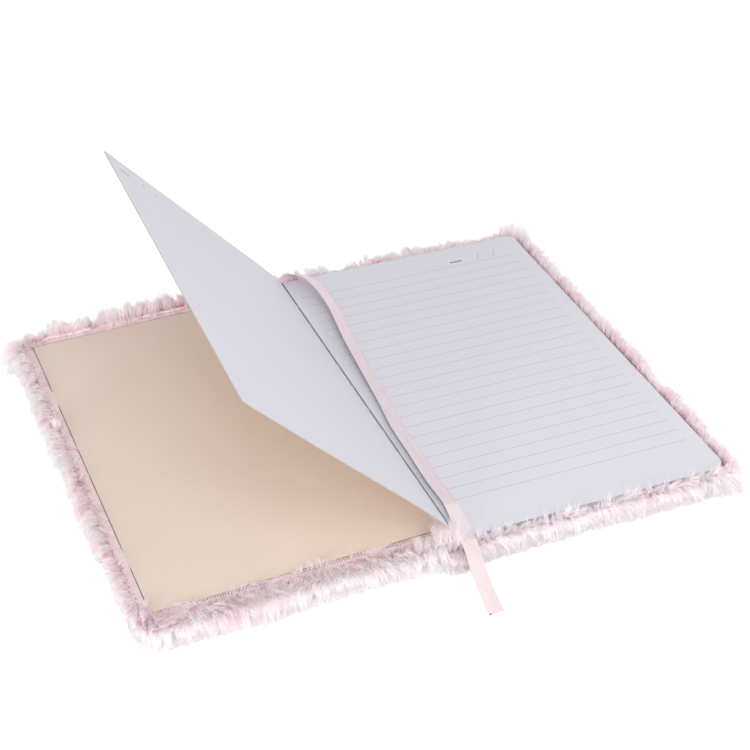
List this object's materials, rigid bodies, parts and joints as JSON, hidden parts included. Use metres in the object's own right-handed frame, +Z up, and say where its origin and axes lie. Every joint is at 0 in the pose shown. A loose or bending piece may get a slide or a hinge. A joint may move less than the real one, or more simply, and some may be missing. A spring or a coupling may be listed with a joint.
{
  "type": "plush notebook",
  "caption": "Casebound ruled notebook with long-pile plush covers, plain endpapers, sewn leaves and a flat ribbon marker, open with one leaf lifted.",
  "frame": {"origin": "on the table under the gutter, half way along the spine", "axes": "+X across the spread towards the back cover, +Y along the spine towards the head, +Z up"},
  "size_m": [0.2839, 0.2482, 0.1123],
  "materials": {
    "plush": "matte",
    "board": "matte",
    "endpaper": "matte",
    "paper": "matte",
    "thread": "matte",
    "lining": "matte",
    "ribbon": "satin"
  },
  "bodies": {
    "text_block": {"back_flyleaf": "endpaper", "signature_1": "paper", "signature_2": "paper", "signature_3": "paper", "signature_4": "paper", "signature_5": "paper", "right_leaf": "paper", "stitch_1": "thread", "stitch_2": "thread", "stitch_3": "thread", "stitch_4": "thread", "stitch_5": "thread", "stitch_6": "thread", "stitch_7": "thread", "stitch_8": "thread", "stitch_9": "thread", "stitch_10": "thread", "spine_lining": "lining", "spine_card": "board", "spine_plush": "plush", "bookmark_ribbon": "ribbon"},
    "back_cover": {"back_pastedown": "endpaper", "back_board": "board", "back_plush": "plush"},
    "front_cover": {"front_pastedown": "endpaper", "front_board": "board", "front_plush": "plush"},
    "leaf_bundle": {"lifted_leaf": "paper", "front_flyleaf": "endpaper"}
  },
  "joints": [
    {"name": "front_hinge", "type": "hinge", "parent": "text_block", "child": "front_cover", "pos_m": [0, 0, 0.01455], "axis": [0, 1, 0], "range_deg": [0, 179], "deforming": ["bookmark_ribbon"]},
    {"name": "leaf_turn", "type": "hinge", "parent": "text_block", "child": "leaf_bundle", "pos_m": [0, 0, 0.0155], "axis": [0, 1, 0], "range_deg": [0, 133.5]},
    {"name": "back_hinge", "type": "hinge", "parent": "text_block", "child": "back_cover", "pos_m": [0, 0, 0.0093], "axis": [0, 1, 0], "range_deg": [0, 90]}
  ],
  "couplings": [
    {"joint": "leaf_turn", "follows": "front_hinge", "ratio": 0.74581}
  ]
}
